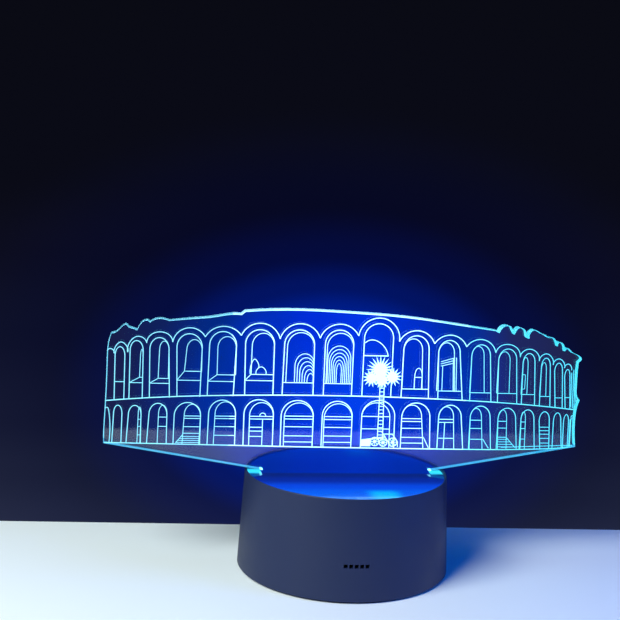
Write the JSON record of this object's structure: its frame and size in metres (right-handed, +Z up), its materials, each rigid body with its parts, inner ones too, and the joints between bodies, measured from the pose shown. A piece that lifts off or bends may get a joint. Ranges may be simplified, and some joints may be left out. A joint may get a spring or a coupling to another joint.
{
  "type": "edge-lit acrylic lamp",
  "caption": "Edge-lit lamp: a clear acrylic plate, cut and engraved as a two-storey arcaded arena front, stands in the slot of a round dark plastic base.",
  "frame": {"origin": "on the table under the centre of the round base", "axes": "+Z up, +X along the plate's width, engraved face towards -Y, power inlet towards +Y"},
  "size_m": [0.1962, 0.087, 0.1062],
  "materials": {
    "housing": "satin moulded ABS",
    "gloss_panel": "polished",
    "acrylic": "clear cast acrylic, laser engraved",
    "white_plastic": "white moulded",
    "led_package": "surface-mounted LED",
    "light_board": "white solder mask",
    "circuit_board": "green solder mask",
    "component_black": "moulded epoxy",
    "component_can": "printed can",
    "cell_can": "plain wrapped cell",
    "plated_steel": "nickel plated",
    "copper_foil": "copper foil",
    "rubber": "moulded",
    "wire_sleeve": "insulated lead"
  },
  "bodies": {
    "base": {"aa_cell_1": "cell_can", "aa_cell_2": "cell_can", "aa_cell_3": "cell_can", "base_housing": "housing", "battery_wires": "wire_sleeve", "board_screws": "plated_steel", "bottom_cover": "housing", "capacitors": "component_can", "contact_plates": "plated_steel", "contact_springs": "plated_steel", "control_board": "circuit_board", "control_chip": "component_black", "holder_screws": "plated_steel", "housing_screws": "plated_steel", "ir_board": "circuit_board", "ir_receiver": "component_black", "led_1": "led_package", "led_2": "led_package", "led_3": "led_package", "led_4": "led_package", "led_5": "led_package", "led_6": "led_package", "led_7": "led_package", "led_board": "light_board", "led_wires": "wire_sleeve", "plate_holder": "white_plastic", "rubber_foot_1": "rubber", "rubber_foot_2": "rubber", "rubber_foot_3": "rubber", "rubber_foot_4": "rubber", "top_panel": "gloss_panel", "touch_pad": "copper_foil", "touch_wire": "wire_sleeve", "usb_socket": "plated_steel"},
    "plate": {"acrylic_plate": "acrylic"},
    "door": {"battery_door": "housing"}
  },
  "joints": [
    {"name": "plate_lift", "type": "slide", "parent": "base", "child": "plate", "axis": [0, 0, 1], "range_m": [0, 0.016]},
    {"name": "battery_door_hinge", "type": "hinge", "parent": "base", "child": "door", "pos_m": [0, -0.0206, 0.0025], "axis": [-1, 0, 0], "range_deg": [0, 90]}
  ]
}
